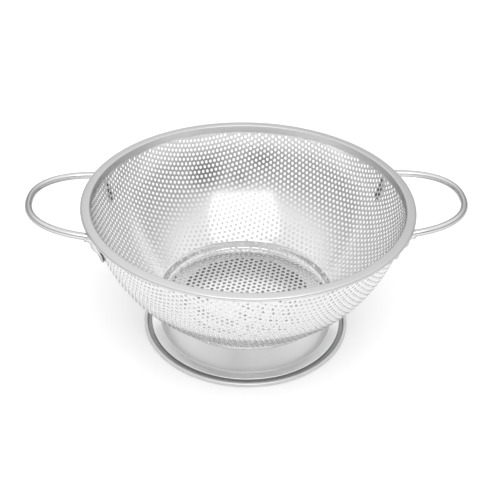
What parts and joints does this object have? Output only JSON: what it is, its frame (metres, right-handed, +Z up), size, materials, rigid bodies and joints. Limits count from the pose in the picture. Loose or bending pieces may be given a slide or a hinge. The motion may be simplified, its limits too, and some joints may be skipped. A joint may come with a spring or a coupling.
{
  "type": "perforated steel colander",
  "caption": "Pressed bowl of perforated steel sheet on a flared foot ring, with a folded rim band and fixed wire loop handles at its sides.",
  "frame": {"origin": "centre of the foot ring's resting face, which is the bottom of the part", "axes": "+Z up along the bowl's axis, out of its mouth; +X through the middle of one handle, named handle_right"},
  "size_m": [0.3176, 0.24, 0.113],
  "materials": {
    "perforated_sheet": "satin pressed sheet",
    "satin_band": "brushed satin",
    "pressed_foot": "fine satin",
    "polished_wire": "polished"
  },
  "bodies": {
    "root": {"bowl": "perforated_sheet", "rim_band": "satin_band", "foot_ring": "pressed_foot", "handle_left": "polished_wire", "handle_right": "polished_wire"}
  },
  "joints": []
}
